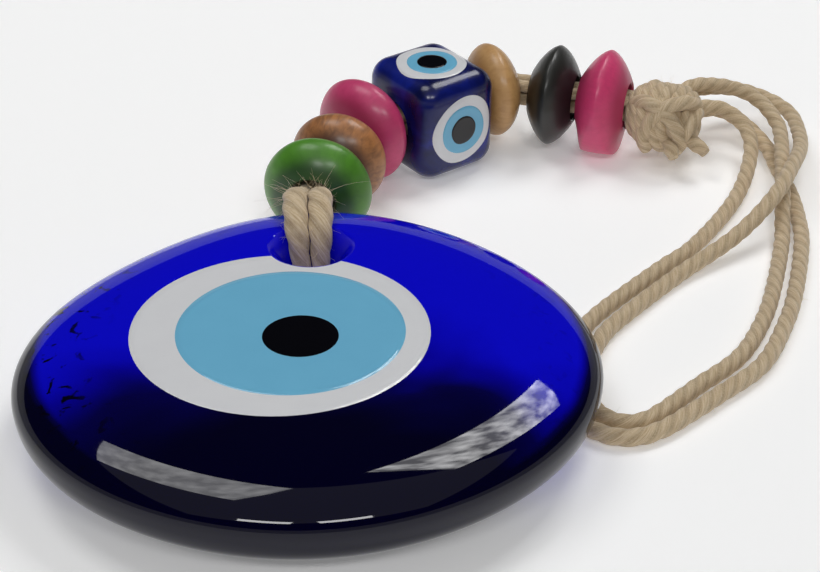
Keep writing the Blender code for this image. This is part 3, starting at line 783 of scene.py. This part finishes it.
def strandRoute(side):
    # In through the beads above their axes, round the glass bar, and back below the axes.
    upper, lower = [], []
    for name in beadOrder:
        joint = joints["bead_" + name + "_spin"]
        way = Vector(joint["axis"])
        across = Vector((way.y, -way.x, 0)) * side * strand["off"]
        for share in strand["stops"]:
            middle = Vector(joint["pos_m"]) + way * beadWidth["bead_" + name] * share + across
            upper.append(middle + Vector((0, 0, strand["off"])))
            lower.append(middle - Vector((0, 0, strand["off"])))
    inward = (knotCentre - Vector(joint["pos_m"])).normalized()
    for run in (upper, lower):
        run.append(run[-1] + Vector((inward.x, inward.y, 0)) * strand["intoKnot"])
    turn = []
    for k in range(strand["turnSteps"] + 1):
        lean = strand["start"] + (2 * math.pi - 2 * strand["start"]) * k / strand["turnSteps"]
        corner = max(0.0, 1 - abs(abs(lean - math.pi) - math.pi / 4) / 0.7)
        reach = strand["turn"] + strand["corner"] * corner
        # The two strands spread apart on top of the glass, and lean a little to the left there.
        above = max(math.sin(lean), 0.0)
        out = (side * (1.25 + 0.5 * above) - 0.35 * above) * mm
        turn.append(barCentre + Vector((out, math.cos(lean) * reach, math.sin(lean) * reach)))
    return upper[::-1] + turn + lower


def addStrands():
    for node, side in (("cord_strand_left", -1), ("cord_strand_right", 1)):
        route, length = smoothRoute(strandRoute(side), strand["step"])
        spread = []
        for point in route:
            near = 1 - min(max(((point - barCentre).length - 7.5 * mm) / (3 * mm), 0.0), 1.0)
            above = min(max((point.z - barCentre.z) / (6 * mm), 0.0), 1.0)
            spread.append(near * (0.3 + 0.7 * above))

        def press(k, offset):
            # Pulled tight over the glass the strand lies wide and flat.
            share = spread[k]
            out = route[k] - barCentre
            out.x = 0
            out.normalize()
            wide = 1 + share * (strand["wide"] / strand["squeezed"] - 1)
            thin = 1 + share * (strand["thin"] / strand["squeezed"] - 1)
            return Vector((offset.x * wide, offset.y, offset.z)) + out * offset.dot(out) * (thin - 1)

        piece = layTwine(
            node + "_twine", route, lambda k: strand["squeezed"] / 2,
            lay=strand["lay"], phase=side * 0.8, press=press,
        )
        finishPiece(piece, hemp, "cord", [node])
        over = [p for p in route if (p - barCentre).length < 8.5 * mm and p.z > barCentre.z - 1 * mm]
        addFuzz(over, "bar")
        addFuzz([p for p in over if p.z > barCentre.z + 4.5 * mm and p.y > barCentre.y], "crown")
    print("strands", round(length / mm), "mm each")


addStrands()

knot = {
    # Turns round the knot: place along it, tilt, thickness and start, in mm and turns.
    "wraps": (
        (-4.3, 0.30, 1.15, 0.10), (-3.0, 0.42, 1.25, 0.45), (-1.6, 0.50, 1.3, 0.20), (-0.2, 0.46, 1.3, 0.70),
        (1.2, 0.52, 1.3, 0.35), (2.6, 0.38, 1.25, 0.90), (3.9, 0.25, 1.15, 0.55),
    ),
    # Runs that cross over the turns, in mm along, to the side of and above the knot's middle.
    "crossing": (
        (
            (-4.6, -2.2, 2.8), (-2.4, -3.9, 3.9), (0.4, -4.6, 2.6),
            (2.4, -4.9, 0.2), (3.0, -4.2, -2.6), (1.8, -2.6, -4.6),
        ),
        (
            (4.9, -0.4, 2.6), (3.2, -2.6, 4.0), (0.6, -4.2, 3.6),
            (-1.8, -4.8, 1.4), (-2.8, -4.6, -1.4), (-2.2, -3.2, -4.2),
        ),
        ((4.8, 0.6, 0.8), (5.0, -1.6, 1.8), (4.3, -3.6, 0.6), (2.9, -4.2, -1.8), (1.4, -3.4, -4.0)),
    ),
    "wrapSteps": 84, "wrapLay": 7.0 * mm, "crossingLay": 8.0 * mm,
    # The core that fills the turns, as shares of the knot's half size.
    "core": (0.84, 0.78, 0.8),
    # A cut end's run, in shares of its length along and mm up, and how much it thins at the cut.
    "tail": ((-2.4, 0.8), (-1.0, 0.4), (0.3, 0.0), (1.0, -0.5)), "tailThins": 0.35,
}


def addKnot():
    # The turns swell towards the knot's middle, each with its own tilt.
    way = knotCentre - Vector(joints["bead_pink_outer_spin"]["pos_m"])
    way.z = 0
    way.normalize()
    side = Vector((-way.y, way.x, 0))
    up = Vector((0, 0, 1))
    reach = (knotHigh - knotLow) / 2
    parts = []
    for place, tilt, thick, start in knot["wraps"]:
        ring = []
        swell = math.sqrt(max(1 - (place * mm / (reach.x * 1.12)) ** 2, 0.05))
        for k in range(knot["wrapSteps"]):
            turn = 2 * math.pi * (k / knot["wrapSteps"] + start)
            wide, high = (reach.y * swell - thick * 0.8 * mm), (reach.z * swell - thick * 0.8 * mm)
            wobble = 1 + 0.05 * math.sin(3 * turn + start * 20)
            lean = tilt * math.cos(turn + 0.6) * high * 0.8
            ring.append(
                knotCentre + way * (place * mm + lean)
                + side * math.cos(turn) * wide * wobble + up * math.sin(turn) * high * wobble
            )
        parts.append(
            layTwine("turn", ring, lambda k: thick * mm, lay=knot["wrapLay"], closed=True, phase=start * 9)
        )
    for points in knot["crossing"]:
        points = [knotCentre + way * x * mm + side * y * mm + up * z * mm for x, y, z in points]
        route, _ = smoothRoute(points, twine["step"])
        parts.append(layTwine("crossing", route, lambda k: twine["thickness"] / 2, lay=knot["crossingLay"]))
    deselect()
    bpy.ops.mesh.primitive_uv_sphere_add(segments=40, ring_count=22, radius=1.0, location=knotCentre)
    core = bpy.context.object
    bpy.ops.object.mode_set(mode="EDIT")
    bpy.ops.mesh.select_all(action="SELECT")
    bpy.ops.transform.resize(value=reach * Vector(knot["core"]), center_override=knotCentre)
    bpy.ops.object.mode_set(mode="OBJECT")
    bpy.ops.object.transform_apply(location=True, rotation=True, scale=True)
    parts.append(core)
    deselect()
    for part in parts:
        part.select_set(True)
    bpy.context.view_layer.objects.active = parts[0]
    bpy.ops.object.join()
    ball = bpy.context.object
    ball.name = "cord_knot_twine"
    finishPiece(ball, hemp, "cord", ["cord_knot"])
    around = []
    for k in range(21):
        turn = k * 0.3
        around.append(knotCentre + (side * math.cos(turn) * reach.y + up * math.sin(turn) * reach.z) * 0.8)
    addFuzz(around, "knot")
    for node in ("cord_tail_long", "cord_tail_short"):
        low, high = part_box(node)
        centre = (low + high) / 2
        out = centre - knotCentre
        out.z = 0
        out.normalize()
        length = (high - low).length * 0.36
        points = [centre + out * length * share + up * z * mm for share, z in knot["tail"]]
        route, _ = smoothRoute(points, 0.3 * mm)
        last = len(route) - 1

        def radiusAt(k):
            # Its last fifth narrows to the cut.
            return twine["thickness"] / 2 - knot["tailThins"] * mm * max(k / last - 0.8, 0) / 0.2

        tail = layTwine(node + "_twine", route, radiusAt, lay=knot["wrapLay"])
        finishPiece(tail, hemp, "cord", [node])
        addFuzz(route[len(route) * 2 // 3 :], "tail")
    print("knot and cut ends")


addKnot()

# A fibre's root radius, how much it thins to its tip, its lengths of thread, and its sides.
fibre = {"radius": 0.03 * mm, "thins": 0.75, "lengths": 4, "sides": 3}


def addFibres():
    # Stray fibres stand off the twine as thin, tapered, bent threads.
    sides, lengths = fibre["sides"], fibre["lengths"]
    points, faces = [], []
    for route, radius, count, longest in fuzzy:
        for _ in range(count):
            k = rng.randrange(1, len(route) - 1)
            way = (route[k + 1] - route[k - 1]).normalized()
            side = Matrix.Rotation(rng.uniform(0, 2 * math.pi), 3, way) @ way.orthogonal().normalized()
            length = longest * rng.uniform(0.35, 1.0)
            lean = (side + way * rng.uniform(-1.2, 1.2)).normalized()
            bend = Vector([rng.uniform(-0.5, 0.5) for _ in range(3)])
            first = len(points)
            for n in range(lengths + 1):
                t = n / lengths
                at = route[k] + side * radius * 0.7 + (lean * t + bend * t * t * 0.7) * length
                at.z = max(at.z, tableZ + 0.05 * mm)
                thin = fibre["radius"] * (1 - fibre["thins"] * t)
                for j in range(sides):
                    turn = 2 * math.pi * j / sides
                    points.append(at + (way * math.cos(turn) + way.cross(side) * math.sin(turn)) * thin)
            for n in range(lengths):
                for j in range(sides):
                    a, b = first + n * sides + j, first + n * sides + (j + 1) % sides
                    faces.append((a, b, b + sides, a + sides))
            tip = first + lengths * sides
            faces += [tuple(range(first + sides - 1, first - 1, -1)), tuple(range(tip, tip + sides))]
    fibres = meshFrom("stray_fibres", points, faces)
    pick(fibres)
    bpy.ops.object.mode_set(mode="EDIT")
    bpy.ops.mesh.select_all(action="SELECT")
    bpy.ops.mesh.normals_make_consistent(inside=False)
    bpy.ops.object.mode_set(mode="OBJECT")
    # Single hemp fibres: pale straw, slightly shiny, lighter and darker by turns.
    made, tree = newMaterial("stray_hemp_fibre")
    place = addNode(tree, "TexCoord").outputs["Object"]
    varied = addNode(tree, "TexNoise", {"Vector": place, "Scale": 900.0}).outputs[0]
    tone = addNode(tree, "ValToRGB", {"Fac": varied}, ((0.35, "#BFA880"), (0.65, "#E6D8BC"))).outputs[0]
    finishMaterial(tree, {"Base Color": tone, "Roughness": 0.6})
    finishPiece(fibres, made, "cord")
    print("stray fibres,", len(faces), "faces")


addFibres()

studio = {
    "paper": "#F6F6F6", "glow": 0.2, "world": 0.02,
    # The paper's flat part and its raised edge, as radius and height in metres, and what the lights face.
    "sweep": ((1.2, 0.0), (1.8, 0.02), (2.4, 0.2), (2.9, 0.8)), "aim": (0.0, 0.02, 0.0),
    # name, place, size, brightness, how streaky
    "lights": (
        ("window_left", (-0.21, 0.17, 0.6), (0.22, 0.32), 4.6, 0.3),
        ("window_right", (0.27, 0.36, 0.6), (0.26, 0.34), 7.5, 0.7),
        ("lamp_left", (-0.24, -0.75, 0.8), (0.3, 0.12), 15.0, 0.0),
        ("lamp_right", (0.2, -0.75, 0.8), (0.3, 0.12), 15.0, 0.0),
        ("ceiling", (0.0, -0.6, 2.4), (4.0, 3.0), 0.25, 0.0),
    ),
}


def addStudio():
    loops = [(radius, tableZ + height) for radius, height in studio["sweep"]]
    deselect()
    bpy.ops.mesh.primitive_circle_add(vertices=96, radius=loops[0][0], fill_type="NGON", location=(0, 0, 0))
    floor = bpy.context.object
    floor.name = "studio_floor"
    floor.data.transform(Matrix.Translation((0, 0, tableZ)))
    bpy.ops.object.mode_set(mode="EDIT")
    bpy.ops.mesh.select_mode(type="EDGE")
    bpy.ops.mesh.select_all(action="SELECT")
    for (radius, height), (nextRadius, nextHeight) in zip(loops, loops[1:]):
        bpy.ops.mesh.extrude_edges_move(TRANSFORM_OT_translate={"value": (0, 0, nextHeight - height)})
        grow = nextRadius / radius
        bpy.ops.transform.resize(value=(grow, grow, 1), center_override=(0, 0, nextHeight))
    bpy.ops.object.mode_set(mode="OBJECT")
    # Matt background paper, lit a little from below as on a light table.
    made, tree = newMaterial("studio_paper")
    finishMaterial(
        tree,
        {"Base Color": studio["paper"], "Roughness": 0.95, "Specular IOR Level": 0.0,
         "Emission Color": studio["paper"], "Emission Strength": studio["glow"]},
    )
    floor.data.materials.append(made)
    for name, place, size, strength, streaks in studio["lights"]:
        lamp = bpy.data.lights.new(name, "AREA")
        lamp.shape = "RECTANGLE"
        lamp.size, lamp.size_y = size
        lamp.energy = strength * math.pi * size[0] * size[1]
        obj = bpy.data.objects.new(name, lamp)
        scene.collection.objects.link(obj)
        obj.location = place
        obj.rotation_euler = (Vector(studio["aim"]) - Vector(place)).to_track_quat("-Z", "Y").to_euler()
        if streaks:
            # A window's pane is uneven, so that its reflection is.
            lamp.use_nodes = True
            tree = lamp.node_tree
            across = addNode(tree, "NewGeometry").outputs["Parametric"]
            stretched = addNode(
                tree, "Mapping", {"Vector": across, "Scale": (2.0, 7.0, 1.0), "Rotation": (0, 0, 0.5)}
            ).outputs[0]
            cloudy = addNode(tree, "TexNoise", {"Vector": stretched, "Scale": 1.2, "Detail": 3.0}).outputs[0]
            power = addNode(
                tree, "MapRange",
                {
                    "Value": cloudy, "From Min": 0.4, "From Max": 0.65,
                    "To Min": 1 - streaks, "To Max": 1 + streaks,
                },
            ).outputs[0]
            tree.links.new(power, tree.nodes["Emission"].inputs["Strength"])
    world = bpy.data.worlds.new("studio")
    scene.world = world
    world.use_nodes = True
    world.node_tree.nodes["Background"].inputs[0].default_value = (1, 1, 1, 1)
    world.node_tree.nodes["Background"].inputs[1].default_value = studio["world"]
    print("studio lit")


addStudio()
deselect()
